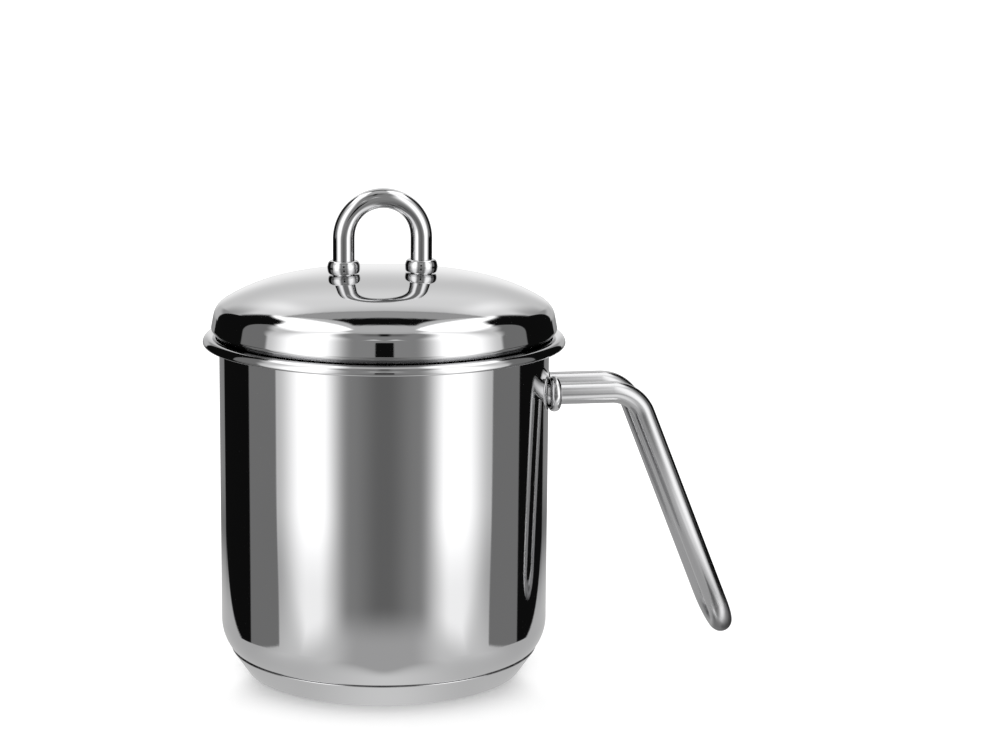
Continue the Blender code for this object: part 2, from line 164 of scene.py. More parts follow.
# Levels of light, first of the dome and from LEVEL_NEAR_FRONT on of the table, on which they are
# painted light and shade
LEVEL_FRONT = 0.178
LEVEL_FRONT_SIDE = 0.30
LEVEL_FRONT_HIGH = 0.33
LEVEL_WHITE = 1.95
LEVEL_WHITE_OUTER = 0.85
LEVEL_WHITE_OUTER_LOW = 0.9 * LEVEL_WHITE_OUTER
LEVEL_GREY = 0.235
LEVEL_BLACK = 0.006
LEVEL_BACK_LOW = 0.27
LEVEL_BACK_SIDE = 0.60
LEVEL_BACK_EDGE = 1.05
LEVEL_BACK = 0.76
LEVEL_BACK_HIGH = 1.00
LEVEL_CEILING = 0.60
LEVEL_OPENING = 0.45
LEVEL_OPENING_NEAR = 0.66
LEVEL_RAIL = 0.19
LEVEL_LAMP = 1.0
LEVEL_SPOT = 0.30
LEVEL_SHADE = 0.38
LEVEL_NEAR_FRONT = 0.90
LEVEL_NEAR_MIDDLE = 0.68
LEVEL_NEAR_SIDE = 0.60
LEVEL_TABLE_FRONT = 0.52
LEVEL_TABLE_MIDDLE = 0.80
LEVEL_TABLE_FAR = 0.72

# Cards: where they begin and end as a mirror looks at them. A side is the angle from the
# camera's direction, a rise the angle over the horizon. A pair is both ends of a soft edge.
LID_RISE = (-8, 4)
FRONT_SIDE = (2, 24)
FRONT_SHIFT = 0.07
FRONT_SHIFT_HIGH = 28
FRONT_SHIFT_RISE = (35, 78)
FRONT_SHIFT_LID = 4
WHITE_SIDE = (22, 47)
WHITE_POWER = 1.25
OUTER_SIDE = (58, 84)
OUTER_SIDE_LOW = (54, 80)
GREY_SIDE = 80.3
GREY_SIDE_LID = 82.3
GREY_SHIFT = 0.08
GREY_SHIFT_HIGH = 35
GREY_SHIFT_RISE = (32, 60)
GREY_SOFTNESS = 0.8
GREY_SOFTNESS_HIGH = 0.35
BLACK_SIDE = 107.6
BLACK_SHIFT = 0.012
BLACK_SHIFT_POWER = 1.9
BLACK_SOFTNESS = 0.6
BLACK_TOP = 50
BLACK_TOP_DROP = 7
BLACK_TOP_SIDE = (146, 152.5)
BLACK_TOP_SOFTNESS = 1.2
OVERHEAD_RISE = (44, 56)
OVERHEAD_SIDE = (60, 100)
OVERHEAD_BLACK_SIDE = (105, 125)
BACK_SIDE = 148.5
BACK_SHIFT = 4
BACK_SHIFT_RISE = (10, 32)
BACK_SOFTNESS = 1
BACK_EDGE_SIDE = (160, 175)
BACK_LOW_RISE = (-12, 1)
BACK_RISE = (5, 18)
BACK_HIGH_RISE = (18, 36)
BACK_HIGH_END = (44, 54)
CEILING_RISE = (71, 78)

# Over the table: places on the ceiling as a mirror looks at them, as the parts of the
# direction that point back from the camera and across
OPENING_WAIST = 0.34
OPENING_HALF = 0.145
OPENING_SPREAD_NEAR = 0.34
OPENING_SPREAD_FAR = 2.6
OPENING_SOFTNESS = 0.012
OPENING_START = (0.0, 0.05)
OPENING_BLACK = (0.355, 0.375)
OPENING_PALE = (0.485, 0.500)
OPENING_END = (0.585, 0.615)
RAIL_START = (-0.58, -0.38)
RAIL_END = (-0.32, -0.13)
RAIL_HALF = (0.12, 0.25)
RAIL_DARK_HALF = (0.02, 0.07)
SPOT_ACROSS = 0.245
SPOT_BACK = 0.73
SPOT_WIDTH = 0.06
SPOT_DEPTH = 0.09
SHADE_ACROSS = (0.29, 0.38)
SHADE_BACK = (0.72, 0.80)
SHADE_RISE = (8, 16)
LAMP_SIDE = 8
LAMP_RISE = 38
LAMP_BOW = 0.10
LAMP_WIDTH = 4.5
LAMP_THICKNESS = 1.8
LENS_SIDE = 6
LENS_RISE = (4, 22)

# Cards' feet and tops on the dome: elevations seen from its centre, and sides
CARD_LEAN = 2.3
CARD_LEAN_DEPTH = (11, 17)
CARD_TOP_START = (-4.5, -3.5)
CARD_TOP_END = (1, 4)
CARD_TOP_SIDE = (80, 84)
CARD_TOP_BACK = (146, 148)

# Table as the metal sees it: distances from the pan's axis in metres, and sides in degrees
TABLE_INNER = 0.055
TABLE_RINGS = 160
SEEN_ROUNDS = 6
NEAR_MIDDLE_SIDE = (0, 40)
NEAR_OUTER_SIDE = (40, 75)
NEAR_START = 0.074
NEAR_ENDS = (0.092, 0.125)
NEAR_END_SIDE = (0, 20)
TABLE_MIDDLE_SIDE = (14, 32)
TABLE_OUTER_SIDE = (50, 75)
FAR_DISTANCE = (0.24, 0.42)
FAR_SIDE = (20, 35)
LIT_STARTS = (0.165, 0.125)
LIT_START_SIDE = (15, 45)
LIT_END_SIDES = (0, 30, 45, 60)
LIT_ENDS = (0.235, 0.225, 0.190, 0.300)
CARD_PLACE = 0.125
CARD_SLANT = 0.4
CARD_EDGE = 0.001
CARD_FRONT_SOFTNESS = 0.5
CARD_FOOT_DISTANCE = (0.12, 0.42)

# Floor that the camera sees, in metres. The glow is light added for the camera, and it is less
# close to the pan: a painted shadow round the pan's foot. The pairs of the glow's start and end
# are for the front and the side, in millimetres from the pan's axis.
FLOOR_SIZE = 12.0
FLOOR_COLOUR = (0.80, 0.80, 0.80)
FLOOR_RINGS = 200
FLOOR_COLUMNS = 180
FLOOR_INNER = 0.03
FLOOR_DEPTH = 0.0002
GLOW_CONTACT = 0.11
GLOW_FRONT = 0.36
GLOW_SIDE = 0.52
GLOW_TURN = (45, 80)
GLOW_STARTS = (56, 52)
GLOW_ENDS = (88, 64)


def arc(centre, radius, start, end, side=1.0):
    """Points on a circle from start to end and their outward normals. The normal is the
    direction from the centre, or its opposite where side is -1, on a hollow surface."""
    turn = abs(end - start)
    count = int(max(turn / LARGEST_TURN, math.radians(turn) * radius / LARGEST_STEP)) + 2
    angles = np.radians(np.linspace(start, end, count))
    out = np.stack([np.cos(angles), np.sin(angles)], axis=1)
    return np.asarray(centre) + radius * out, side * out


def spot(point, angle):
    """One point of a section with its normal at an angle."""
    out = np.array([[math.cos(math.radians(angle)), math.sin(math.radians(angle))]])
    return np.array([point], dtype=float), out


def joined(pieces, closed=False):
    """One line through arcs and spots in order. The straight run from one to the next is
    divided evenly, and its normal changes evenly from the one's last to the other's first.
    Where an arc goes on smoothly from the last one, their common point is kept once."""
    pieces = [same_point_once(pieces[index - 1], piece) if index or closed else piece
              for index, piece in enumerate(pieces)]
    points, normals = [], []
    for index, (line, out) in enumerate(pieces):
        points.append(line)
        normals.append(out)
        if index == len(pieces) - 1 and not closed:
            break
        next_line, next_out = pieces[(index + 1) % len(pieces)]
        gap = next_line[0] - line[-1]
        count = int(np.linalg.norm(gap) / LARGEST_STEP) + 1
        share = (np.arange(1, count) / count)[:, None]
        points.append(line[-1] + share * gap)
        normals.append(out[-1] * (1 - share) + next_out[0] * share)
    return np.concatenate(points), unit(np.concatenate(normals))


def same_point_once(before, piece):
    """The piece without its first point, where that has the place and normal of the last
    point before it."""
    line, out = piece
    same = np.allclose(before[0][-1], line[0], atol=SAME_POINT)
    same = same and np.allclose(before[1][-1], out[0], atol=SAME_NORMAL)
    return (line[1:], out[1:]) if same and len(line) > 1 else piece


def unit(vectors):
    """Vectors of the last axis, each divided by its length."""
    return vectors / np.linalg.norm(vectors, axis=-1, keepdims=True)


def polar(angle):
    """The unit vector at an angle."""
    return np.array([math.cos(math.radians(angle)), math.sin(math.radians(angle))])


def capsule_lip():
    """Where the capsule's cone ends, just short of the circle of the pan's lower corner."""
    centre = np.array([WALL_RADIUS - PAN_CORNER, UNDERSIDE + PAN_CORNER])
    reach = PAN_CORNER + SEAM_WIDTH
    drop = math.sqrt(reach ** 2 - (CAPSULE_LIP - centre[0]) ** 2)
    return np.array([CAPSULE_LIP, centre[1] - drop])


def pan_section():
    """The pan from the middle of its floor over the rim to the middle of its underside.

    The bore leaves the floor's corner arc upright and flares as a tangent into the rim's
    crown. The hem turns the crown under, and a small hollow arc leads to the upright wall.
    """
    corner = (WALL_RADIUS - PAN_CORNER, UNDERSIDE + PAN_CORNER)
    crown = np.array([RIM_OUTER - RIM_CROWN, PAN_HEIGHT - RIM_CROWN])
    drop = math.sqrt((RIM_FLARE - RIM_CROWN) ** 2 - (BORE_RADIUS + RIM_FLARE - crown[0]) ** 2)
    flare = crown - (crown[0] - BORE_RADIUS - RIM_FLARE, drop)
    flare_end = math.degrees(math.atan2(*(crown - flare)[::-1]))
    hem = crown + (RIM_CROWN - RIM_HEM) * polar(RIM_HEM_START)
    hem_end = RIM_UNDER_SLOPE - 90
    along = -polar(RIM_UNDER_SLOPE)
    start = hem + (RIM_HEM + RIM_FILLET) * polar(hem_end)
    fillet = start + (WALL_RADIUS + RIM_FILLET - start[0]) / along[0] * along
    pieces = [
        spot((0.0, UNDERSIDE + PAN_SHEET), 90),
        arc(corner, PAN_CORNER - PAN_SHEET, -90, 0, -1),
        arc(flare, RIM_FLARE, 180, flare_end),
        arc(crown, RIM_CROWN, flare_end, RIM_HEM_START),
        arc(hem, RIM_HEM, RIM_HEM_START, hem_end),
        arc(fillet, RIM_FILLET, 180 + hem_end, 180, -1),
        arc(corner, PAN_CORNER, 0, -90),
        spot((0.0, UNDERSIDE), -90),
    ]
    return joined(pieces)


def capsule_section():
    """The capsule from the middle of its floor over the lip to the middle of its underside.

    A flat dish, a cone that leans outwards, a narrow rounded lip, and a rounded foot.
    """
    foot = np.array([CAPSULE_FOOT, 0.0])
    lip = capsule_lip()
    side = math.degrees(math.atan2(*(lip - foot)[::-1]))
    out = side - 90
    half = CAPSULE_SHEET / 2
    lip_centre = lip - half * polar(out) - half * polar(side)
    setback = CAPSULE_ROUNDING * math.tan(math.radians(side / 2))
    foot_centre = foot + (-setback, CAPSULE_ROUNDING)
    pieces = [
        spot((0.0, CAPSULE_SHEET), 90),
        arc(foot_centre, CAPSULE_ROUNDING - CAPSULE_SHEET, -90, out, -1),
        arc(lip_centre, half, out + 180, out),
        arc(foot_centre, CAPSULE_ROUNDING, out, -90),
        spot((0.0, 0.0), -90),
    ]
    return joined(pieces)


def lid_arcs():
    """Centres of the lid's dome, blend, haunch, shoulder and edge, and the dome's radius.

    The edge arc touches two lines: the leaning side, which stands a set inset inside the rim,
    and the sloping seat, which rests on the rim's crown. Each arc above it touches the next
    with the same slope, and the dome's centre lies on the axis.
    """
    crown = np.array([RIM_OUTER - RIM_CROWN, PAN_HEIGHT - RIM_CROWN])
    side_out, seat_out = polar(LID_SIDE_LEAN), polar(LID_SEAT_SLOPE - 90)
    side_foot = np.array([RIM_OUTER - LID_SIDE_INSET, PAN_HEIGHT])
    reach = [side_foot @ side_out, crown @ seat_out - RIM_CROWN - LID_REST_GAP]
    edge = np.linalg.solve(np.array([side_out, seat_out]), np.array(reach) - LID_EDGE)
    side_top = edge + LID_EDGE * side_out + LID_SIDE_LENGTH * polar(LID_SIDE_LEAN + 90)
    shoulder = side_top - LID_SHOULDER * side_out
    haunch = shoulder + (LID_SHOULDER - LID_HAUNCH) * polar(90 - LID_SHOULDER_SLOPE)
    blend = haunch + (LID_HAUNCH - LID_BLEND) * polar(90 - LID_HAUNCH_SLOPE)
    top_out = polar(90 - LID_BLEND_SLOPE)
    top = blend + LID_BLEND * top_out
    dome_radius = top[0] / top_out[0]
    dome = top - dome_radius * top_out
    return dome, dome_radius, blend, haunch, shoulder, edge


def dome_height(radius):
    """Height of the dome's outer surface at a distance from the axis: a circle's height."""
    dome, dome_radius = lid_arcs()[:2]
    return dome[1] + np.sqrt(dome_radius ** 2 - radius ** 2)


def lid_section():
    """The lid's sheet from the top of the dome, down the outside, round the skirt's lower edge
    and back up the inside. The inner arcs have the outer ones' centres."""
    dome, dome_radius, blend, haunch, shoulder, edge = lid_arcs()
    blend_end = 90 - LID_BLEND_SLOPE
    haunch_end = 90 - LID_HAUNCH_SLOPE
    shoulder_end = 90 - LID_SHOULDER_SLOPE
    seat = LID_SEAT_SLOPE - 90
    half = LID_SHEET / 2
    seat_foot = edge + (LID_EDGE + LID_STEP) * polar(seat)
    down = -polar(LID_SEAT_SLOPE)
    step = seat_foot + (LID_SKIRT + LID_STEP - seat_foot[0]) / down[0] * down
    skirt_end = np.array([LID_SKIRT - half, PAN_HEIGHT - LID_SKIRT_DEPTH + half])
    pieces = [
        arc(dome, dome_radius, 90, blend_end),
        arc(blend, LID_BLEND, blend_end, haunch_end),
        arc(haunch, LID_HAUNCH, haunch_end, shoulder_end),
        arc(shoulder, LID_SHOULDER, shoulder_end, LID_SIDE_LEAN),
        arc(edge, LID_EDGE, LID_SIDE_LEAN, seat),
        arc(step, LID_STEP, seat + 180, 180, -1),
        arc(skirt_end, half, 0, -180),
        arc(step, LID_STEP + LID_SHEET, 180, seat + 180),
        arc(edge, LID_EDGE - LID_SHEET, seat, LID_SIDE_LEAN, -1),
        arc(shoulder, LID_SHOULDER - LID_SHEET, LID_SIDE_LEAN, shoulder_end, -1),
        arc(haunch, LID_HAUNCH - LID_SHEET, shoulder_end, haunch_end, -1),
        arc(blend, LID_BLEND - LID_SHEET, haunch_end, blend_end, -1),
        arc(dome, dome_radius - LID_SHEET, blend_end, 90, -1),
    ]
    return joined(pieces)


def bead_section(tube, edge, bulge, width):
    """A bead from the tube outwards: flat ends, and between them a side that is half of the
    squared ellipse |(r - inner) / a| ** n + |(z - half) / half| ** n = 1, where n is the
    squareness. Its normal is the gradient of the left side."""
    bore = tube + SEAT_GAP
    inner = bore + edge
    half = width / 2
    turn = np.linspace(math.pi / 2, -math.pi / 2, BEAD_STEPS + 1)
    cosine = np.abs(np.cos(turn)) ** (2 / BEAD_SQUARENESS)
    sine = np.sign(np.sin(turn)) * np.abs(np.sin(turn)) ** (2 / BEAD_SQUARENESS)
    side = np.stack([inner + (bulge - inner) * cosine, half + half * sine], axis=1)
    steepness = BEAD_SQUARENESS - 1
    out = np.stack([cosine ** steepness / (bulge - inner),
                    np.sign(sine) * np.abs(sine) ** steepness / half], axis=1)
    pieces = [
        spot((bore, width), 90),
        (side, unit(out)),
        spot((bore, 0.0), -90),
        spot((bore, 0.0), 180),
        spot((bore, width), 180),
    ]
    return joined(pieces, closed=True)


def turned_grid(points, normals, columns):
    """A section turned about Z: x and y are the radius times the turn's cosine and sine, and z
    is the height. Gives points, normals and grain, which is the place in the turn and the
    length along the section."""
    turn = np.linspace(0, 2 * math.pi, columns, endpoint=False)
    ring = np.stack([np.cos(turn), np.sin(turn), np.zeros(columns)], axis=1)
    up = np.array([0.0, 0.0, 1.0])
    grid = points[:, None, :1] * ring + points[:, None, 1:] * up
    out = normals[:, None, :1] * ring + normals[:, None, 1:] * up
    steps = np.linalg.norm(np.diff(points, axis=0), axis=1)
    length = np.concatenate([[0.0], np.cumsum(steps)])
    grain = ring[None] + length[:, None, None] * up
    return grid, out, grain


def tube_grid(line, across, radius, columns, thin=0.0):
    """A hollow tube along a line: the centre plus the radius times the turn's cosine along
    across and its sine along the third direction. The rows run out along the outside and back
    along the inside, and close on themselves. thin is how far the side against the third
    direction moves in, for a bend that flattens on its hollow side."""
    tangent = unit(np.gradient(line, axis=0))
    third = unit(np.cross(tangent, across))
    turn = np.linspace(0, 2 * math.pi, columns, endpoint=False)
    cosine, sine = np.cos(turn)[None, :, None], np.sin(turn)[None, :, None]
    thin = np.broadcast_to(thin, len(line))[:, None, None]
    stretch = np.where(sine < 0, 1 + thin / radius, 1.0)
    out = unit(cosine * across[:, None] + sine * third[:, None] * stretch)

    def skin(size):
        height = np.where(sine < 0, sine * (size - thin), sine * size)
        return line[:, None] + size * cosine * across[:, None] + height * third[:, None]

    steps = np.linalg.norm(np.diff(line, axis=0), axis=1)
    length = np.concatenate([[0.0], np.cumsum(steps)])
    ring = np.stack([np.cos(turn), np.sin(turn), np.zeros(columns)], axis=1)
    grain = ring[None] + length[:, None, None] * np.array([0.0, 0.0, 1.0])
    grid = np.concatenate([skin(radius), skin(radius - TUBE_WALL)[::-1]])
    return grid, np.concatenate([out, -out[::-1]]), np.concatenate([grain, grain[::-1]])


def build(name, surface, material, closed=False, satin=None):
    """A mesh object from a grid of points: four-sided faces between rows and columns, whose
    last column meets the first. An end row of one point is a pole with three-sided faces. The
    faces are turned over if they look against the normals given with the points."""
    grid, out, grain = surface
    rows, columns, _ = grid.shape
    index = np.arange(rows * columns).reshape(rows, columns)
    for end in (0, rows - 1):
        if np.ptp(grid[end], axis=0).max() < SAME_POINT:
            index[end] = index[end, 0]
    used, index = np.unique(index, return_inverse=True)
    index = index.reshape(rows, columns)
    points, normals = grid.reshape(-1, 3)[used], out.reshape(-1, 3)[used]
    if closed:
        index = np.concatenate([index, index[:1]])
    turned = np.roll(index, -1, axis=1)
    corners = np.stack([index[:-1], index[1:], turned[1:], turned[:-1]], axis=-1).reshape(-1, 4)
    middle = points[corners]
    facing = np.cross(middle[:, 2] - middle[:, 0], middle[:, 3] - middle[:, 1])
    if (facing * normals[corners].mean(axis=1)).sum() < 0:
        corners = corners[:, ::-1]
    pole = [len(set(face)) < 4 for face in corners.tolist()]
    faces = [list(dict.fromkeys(face)) if flat else face
             for face, flat in zip(corners.tolist(), pole)]
    mesh = bpy.data.meshes.new(name)
    mesh.from_pydata((points * MM).tolist(), [], faces)
    mesh.shade_smooth()
    mesh.normals_split_custom_set_from_vertices(unit(normals).tolist())
    values = mesh.attributes.new("grain", "FLOAT_VECTOR", "POINT")
    values.data.foreach_set("vector", grain.reshape(-1, 3)[used].astype(np.float32).ravel())
    if satin is not None:
        level = np.repeat(satin[:, None], columns, axis=1).reshape(-1)[used]
        mesh.attributes.new("satin", "FLOAT", "POINT").data.foreach_set(
            "value", level.astype(np.float32))
    mesh.materials.append(material)
    piece = bpy.data.objects.new(name, mesh)
    bpy.context.scene.collection.objects.link(piece)
    return piece


def dress(piece, body, node):
    """The piece rides on a body and stands for a CAD node, which is hidden."""
    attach(piece, body)
    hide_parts(node)


def add(tree, kind, settings=(), **values):
    """A node with its settings, and values or links for its named inputs."""
    made = tree.nodes.new("ShaderNode" + kind)
    for key, value in dict(settings).items():
        setattr(made, key, value)
    for key, value in values.items():
        socket = made.inputs[key.replace("_", " ")]
        if isinstance(value, bpy.types.NodeSocket):
            tree.links.new(value, socket)
        else:
            socket.default_value = value
    return made


def math_node(tree, operation, *values):
    """A sum, product or other result of two values or links."""
    made = add(tree, "Math", {"operation": operation})
    for socket, value in zip(made.inputs, values):
        if isinstance(value, bpy.types.NodeSocket):
            tree.links.new(value, socket)
        else:
            socket.default_value = value
    return made.outputs["Value"]


def ranged(tree, value, low, high, to_low, to_high):
    """A value carried from one range to another, held at the ends."""
    made = add(tree, "MapRange", From_Min=low, From_Max=high, To_Min=to_low, To_Max=to_high)
    tree.links.new(value, made.inputs["Value"])
    return made.outputs["Result"]


def metal(name, colour, roughness, haze, line_depth, along, satin=0.0):
    """Polished metal: a tint that varies a little, fine polishing lines round the piece, and
    a haze of wiping marks that lifts the roughness in patches. The lines are bump and
    roughness from one noise, whose scale along the turn and the section is along. satin is
    the roughness added where the satin attribute is 1."""
    material = bpy.data.materials.new(name)
    material.use_nodes = True
    tree = material.node_tree
    shader = tree.nodes["Principled BSDF"]
    shader.inputs["Metallic"].default_value = 1.0
    grain = add(tree, "Attribute", {"attribute_name": "grain"}).outputs["Vector"]
    lines_place = add(tree, "Mapping", Vector=grain, Scale=along).outputs["Vector"]
    lines = add(tree, "TexNoise", Vector=lines_place, Scale=1.0, Detail=3.0,
                Roughness=0.6).outputs["Fac"]
    own = add(tree, "TexCoord").outputs["Object"]
    marks = add(tree, "TexNoise", Vector=own, Scale=38.0, Detail=4.0, Roughness=0.55,
                Distortion=0.6).outputs["Fac"]
    tint = add(tree, "TexNoise", Vector=own, Scale=14.0, Detail=2.0).outputs["Fac"]
    low, high = ROUGHNESS_SHARES
    rough = ranged(tree, lines, *NOISE_RANGE, roughness * low, roughness * high)
    hazy = ranged(tree, marks, *MARKS_RANGE, 0.0, haze)
    level = math_node(tree, "ADD", rough, hazy)
    if satin:
        inside = add(tree, "Attribute", {"attribute_name": "satin"}).outputs["Fac"]
        level = math_node(tree, "ADD", level, math_node(tree, "MULTIPLY", inside, satin))
    tree.links.new(level, shader.inputs["Roughness"])
    shade = add(tree, "Mix", {"data_type": "RGBA"})
    tree.links.new(ranged(tree, tint, *NOISE_RANGE, 0.0, 1.0), shade.inputs["Factor"])
    colours = [socket for socket in shade.inputs if socket.type == "RGBA"]
    for socket, part in zip(colours, TINT_SHARES):
        socket.default_value = tuple(part * channel for channel in colour) + (1.0,)
    tinted = [socket for socket in shade.outputs if socket.type == "RGBA"][0]
    tree.links.new(tinted, shader.inputs["Base Color"])
    bump = add(tree, "Bump", Strength=1.0, Distance=line_depth, Height=lines)
    tree.links.new(bump.outputs["Normal"], shader.inputs["Normal"])
    return material


def ramp(value, low, high):
    """0 below low, 1 above high, and a smooth cubic rise between them."""
    share = np.clip((value - low) / (high - low), 0, 1)
    return share * share * (3 - 2 * share)


def mix(first, second, share):
    """The first value at share 0, the second at share 1."""
    return first * (1 - share) + second * share


def soft_step(value, place, softness):
    """A ramp with its middle at a place, and as much softness on either side."""
    return ramp(value, place - softness, place + softness)


def studio_level(azimuth, elevation, lean=0.0):
    """How bright the studio is in a direction, from the cards that stand round the table.

    azimuth is 0 at the camera, and both sides are alike. lean is how much nearer the front
    the grey card begins. Each part covers those before it: the dark front with its soft
    edge, the white card and its dimmer outer end, the narrow grey card, the black card, the
    white over it, the pale back wall and the ceiling.
    """
    side = np.abs(azimuth)
    rise = np.clip(elevation, 0, 90)
    lid = ramp(elevation, *LID_RISE)
    shift = FRONT_SHIFT * rise + FRONT_SHIFT_HIGH * ramp(rise, *FRONT_SHIFT_RISE)
    shift = shift - FRONT_SHIFT_LID * lid
    front = mix(LEVEL_FRONT, LEVEL_FRONT_SIDE, ramp(side - shift, *FRONT_SIDE))
    front = mix(front, np.maximum(front, LEVEL_FRONT_HIGH), lid)
    level = mix(front, LEVEL_WHITE, ramp(side - shift, *WHITE_SIDE) ** WHITE_POWER)
    outer = mix(LEVEL_WHITE, LEVEL_WHITE_OUTER, ramp(side, *OUTER_SIDE))
    low_outer = mix(LEVEL_WHITE, LEVEL_WHITE_OUTER_LOW, ramp(side, *OUTER_SIDE_LOW))
    level = np.minimum(level, mix(low_outer, outer, lid))
    grey_side = mix(GREY_SIDE, GREY_SIDE_LID, lid) + GREY_SHIFT * rise
    grey_side = grey_side + GREY_SHIFT_HIGH * ramp(rise, *GREY_SHIFT_RISE) - lean
    grey_end = grey_side + GREY_SOFTNESS + GREY_SOFTNESS_HIGH * rise
    level = mix(level, LEVEL_GREY, ramp(side, grey_side - GREY_SOFTNESS, grey_end))
    black_side = BLACK_SIDE + BLACK_SHIFT * rise ** BLACK_SHIFT_POWER
    black_top = BLACK_TOP - BLACK_TOP_DROP * ramp(side, *BLACK_TOP_SIDE)
    over_black = soft_step(rise, black_top, BLACK_TOP_SOFTNESS)
    black = soft_step(side, black_side, BLACK_SOFTNESS) * (1 - over_black)
    level = mix(level, LEVEL_BLACK, black)
    overhead = mix(ramp(rise, *OVERHEAD_RISE), over_black, ramp(side, *OVERHEAD_BLACK_SIDE))
    level = mix(level, LEVEL_WHITE, overhead * ramp(side, *OVERHEAD_SIDE))
    back = mix(LEVEL_BACK_SIDE, LEVEL_BACK_EDGE, ramp(side, *BACK_EDGE_SIDE))
    back = mix(LEVEL_BACK_LOW, back, ramp(elevation, *BACK_LOW_RISE))
    back = mix(back, LEVEL_BACK, ramp(elevation, *BACK_RISE))
    high = ramp(rise, *BACK_HIGH_RISE) * (1 - ramp(rise, *BACK_HIGH_END))
    back = mix(back, LEVEL_BACK_HIGH, high)
    back_side = BACK_SIDE + BACK_SHIFT * ramp(rise, *BACK_SHIFT_RISE)
    level = mix(level, back, soft_step(side, back_side, BACK_SOFTNESS))
    level = mix(level, LEVEL_CEILING, ramp(rise, *CEILING_RISE))
    return ceiling_level(level, azimuth, elevation)


def ceiling_level(level, azimuth, elevation):
    """The studio's level with what hangs over the table.

    Behind the pan the ceiling's opening, which is pale at both ends and dark in the middle
    and spreads to both sides of its waist, with a soft bright spot and a shade beside it. In
    front a dark rail, darkest in its middle. At the camera its lens, and over it two lamps,
    each a bell curve across and along a bow."""
    flat = np.cos(np.radians(np.clip(elevation, 0, 90)))
    across = flat * np.sin(np.radians(np.abs(azimuth)))
    back = -flat * np.cos(np.radians(azimuth))
    beyond = back - OPENING_WAIST
    half = OPENING_HALF + OPENING_SPREAD_NEAR * np.maximum(-beyond, 0)
    half = half + OPENING_SPREAD_FAR * np.maximum(beyond, 0) ** 2
    opening = (1 - soft_step(across, half, OPENING_SOFTNESS)) * ramp(back, *OPENING_START)
    opening = opening * (1 - ramp(back, *OPENING_END))
    level = mix(level, LEVEL_OPENING_NEAR, opening)
    level = mix(level, LEVEL_BLACK, opening * ramp(back, *OPENING_BLACK))
    level = mix(level, LEVEL_OPENING, opening * ramp(back, *OPENING_PALE))
    rail = ramp(back, *RAIL_START) * (1 - ramp(back, *RAIL_END))
    level = mix(level, LEVEL_RAIL, rail * (1 - ramp(across, *RAIL_HALF)))
    level = mix(level, LEVEL_BLACK, rail * (1 - ramp(across, *RAIL_DARK_HALF)))
    side = np.abs(azimuth)
    bow = elevation - LAMP_RISE + LAMP_BOW * (side - LAMP_SIDE) ** 2
    lamps = np.exp(-((side - LAMP_SIDE) / LAMP_WIDTH) ** 2 - (bow / LAMP_THICKNESS) ** 2)
    level = level + LEVEL_LAMP * lamps
    beside = (across - SPOT_ACROSS) / SPOT_WIDTH
    behind = (back - SPOT_BACK) / SPOT_DEPTH
    level = level + LEVEL_SPOT * np.exp(-beside ** 2 - behind ** 2)
    shade = ramp(across, *SHADE_ACROSS) * ramp(back, *SHADE_BACK)
    shade = shade * ramp(elevation, *SHADE_RISE)
    level = np.maximum(level - LEVEL_SHADE * shade, LEVEL_BLACK)
    low, high = LENS_RISE
    lens = (side < LENS_SIDE) & (elevation > low) & (elevation < high)
    return np.where(lens, LEVEL_BLACK, level)


def reflected_only(stage):
    """A stage object that polished metal sees and nothing else does."""
    stage.visible_camera = False
    stage.visible_diffuse = False
    stage.visible_shadow = False
    stage.visible_transmission = False
    stage.visible_volume_scatter = False


def card_material(name):
    """Light of the level attribute's strength, and clear where the cover attribute is 0."""
    material = bpy.data.materials.new(name)
    material.use_nodes = True
    tree = material.node_tree
    tree.nodes.clear()
    level = add(tree, "Attribute", {"attribute_name": "level"}).outputs["Fac"]
    cover = add(tree, "Attribute", {"attribute_name": "cover"}).outputs["Fac"]
    light = add(tree, "Emission", Strength=level).outputs["Emission"]
    clear = add(tree, "BsdfTransparent").outputs["BSDF"]
    both = add(tree, "MixShader")
    tree.links.new(cover, both.inputs[0])
    tree.links.new(clear, both.inputs[1])
    tree.links.new(light, both.inputs[2])
    out = add(tree, "OutputMaterial")
    tree.links.new(both.outputs["Shader"], out.inputs["Surface"])
    material.cycles.emission_sampling = "NONE"
    return material


def stage_grid(name, points, level, cover, material):
    """A stage mesh from an open grid of points, with its level and cover in attributes."""
    rows, columns, _ = points.shape
    index = np.arange(rows * columns).reshape(rows, columns)
    corners = np.stack([index[:-1, :-1], index[1:, :-1], index[1:, 1:], index[:-1, 1:]], axis=-1)
    mesh = bpy.data.meshes.new(name)
    mesh.from_pydata(points.reshape(-1, 3).tolist(), [], corners.reshape(-1, 4).tolist())
    for key, values in (("level", level), ("cover", cover)):
        mesh.attributes.new(key, "FLOAT", "POINT").data.foreach_set(
            "value", values.astype(np.float32).ravel())
    mesh.materials.append(material)
    stage = bpy.data.objects.new(name, mesh)
    bpy.context.scene.collection.objects.link(stage)
    return stage


